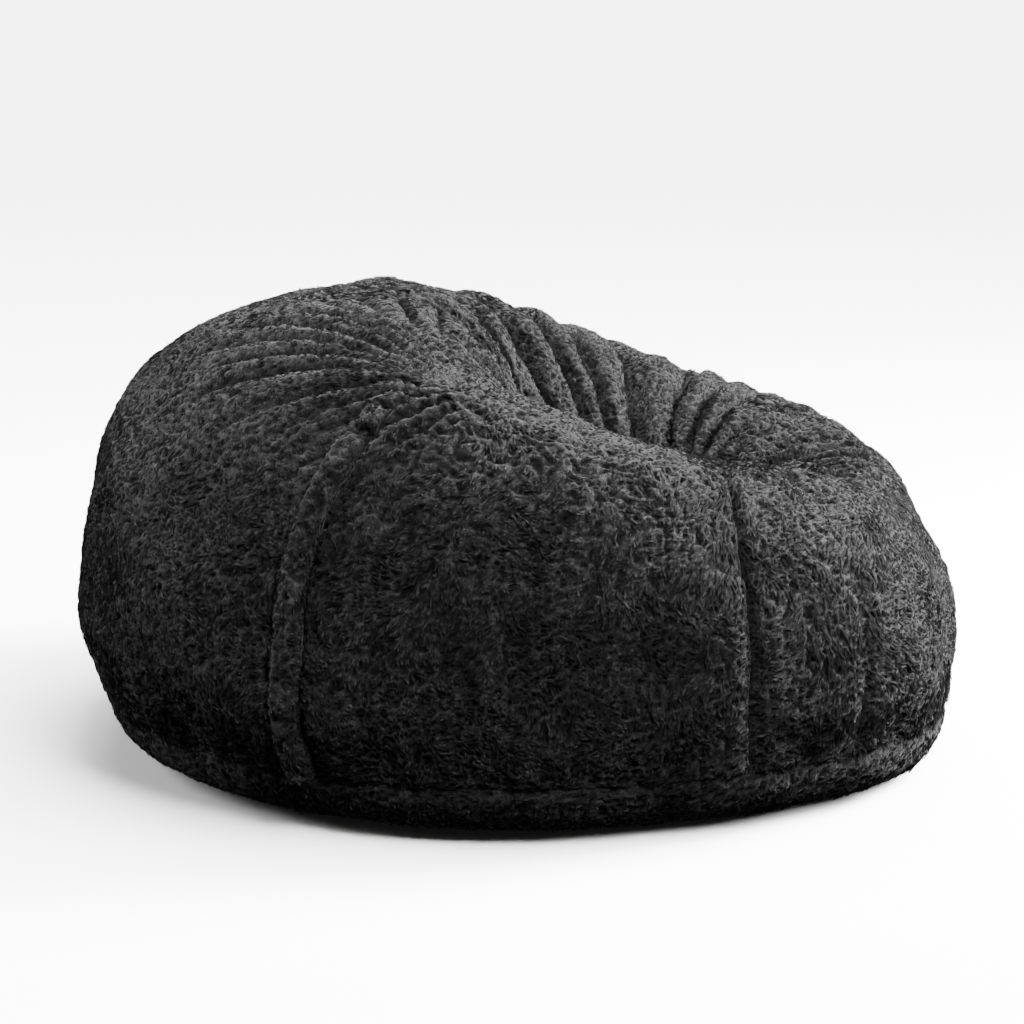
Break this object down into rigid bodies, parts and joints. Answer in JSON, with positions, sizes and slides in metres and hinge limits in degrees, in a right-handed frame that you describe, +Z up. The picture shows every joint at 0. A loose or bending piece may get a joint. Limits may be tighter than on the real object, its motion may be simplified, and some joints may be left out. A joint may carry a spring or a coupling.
{
  "type": "bean bag chair",
  "caption": "Low round bean bag chair in dark long-pile plush, high behind and low in front, with a gathered seat hollow and a zip in its base seam.",
  "frame": {"origin": "on the floor under the middle of the chair's footprint", "axes": "+X from the high back towards the open front of the seat, +Z up, +Y to the sitter's left"},
  "size_m": [1.2, 1.17, 0.625],
  "materials": {
    "plush": "long-pile plush",
    "binding": "matte woven",
    "liner": "matte woven",
    "zip_tape": "matte woven",
    "zip_coil": "satin",
    "zip_metal": "satin",
    "label": "satin woven",
    "filling": "matte foam"
  },
  "bodies": {
    "sack": {"cover_front_left": "plush", "cover_left": "plush", "cover_back_left": "plush", "cover_back_right": "plush", "cover_right": "plush", "cover_front_right": "plush", "cover_base": "plush", "cover_top_cap": "plush", "seam_band": "plush", "seam_binding_front": "binding", "seam_binding_front_left": "binding", "seam_binding_back_left": "binding", "seam_binding_back": "binding", "seam_binding_back_right": "binding", "seam_binding_front_right": "binding", "base_seam_binding": "binding", "gather_cord": "binding", "liner_front_left": "liner", "liner_left": "liner", "liner_back_left": "liner", "liner_back_right": "liner", "liner_right": "liner", "liner_front_right": "liner", "liner_base": "liner", "liner_top_cap": "liner", "cover_zip_tape_upper": "zip_tape", "cover_zip_tape_lower": "zip_tape", "liner_zip_tape_left": "zip_tape", "liner_zip_tape_right": "zip_tape", "cover_zip_coil_upper": "zip_coil", "cover_zip_coil_lower": "zip_coil", "liner_zip_coil_left": "zip_coil", "liner_zip_coil_right": "zip_coil", "cover_zip_end_left": "zip_metal", "cover_zip_end_back": "zip_metal", "liner_zip_end_front": "zip_metal", "liner_zip_end_back": "zip_metal", "care_label": "label", "foam_fill": "filling"},
    "cover_zip": {"cover_zip_slider": "zip_metal"},
    "zip_pull_link": {"zip_pull_link": "zip_metal", "zip_pull_pin": "zip_metal"},
    "zip_pull_tab": {"zip_pull_tab": "zip_metal"},
    "liner_zip": {"liner_zip_slider": "zip_metal"}
  },
  "joints": [
    {"name": "cover_zip_travel", "type": "hinge", "parent": "sack", "child": "cover_zip", "pos_m": [0.01, 0, 0], "axis": [0, 0, 1], "range_deg": [0, 110]},
    {"name": "zip_pull_swing", "type": "hinge", "parent": "cover_zip", "child": "zip_pull_link", "pos_m": [0.25011, 0.53179, 0.08217], "axis": [0.4093, 0.9064, -0.1045], "range_deg": [-80, 80]},
    {"name": "zip_tab_lift", "type": "hinge", "parent": "zip_pull_link", "child": "zip_pull_tab", "pos_m": [0.24964, 0.53074, 0.07123], "axis": [-0.9114, 0.4115, 0], "range_deg": [-95, 12]},
    {"name": "liner_zip_travel", "type": "slide", "parent": "sack", "child": "liner_zip", "axis": [1, 0, 0], "range_m": [0, 0.388]}
  ]
}
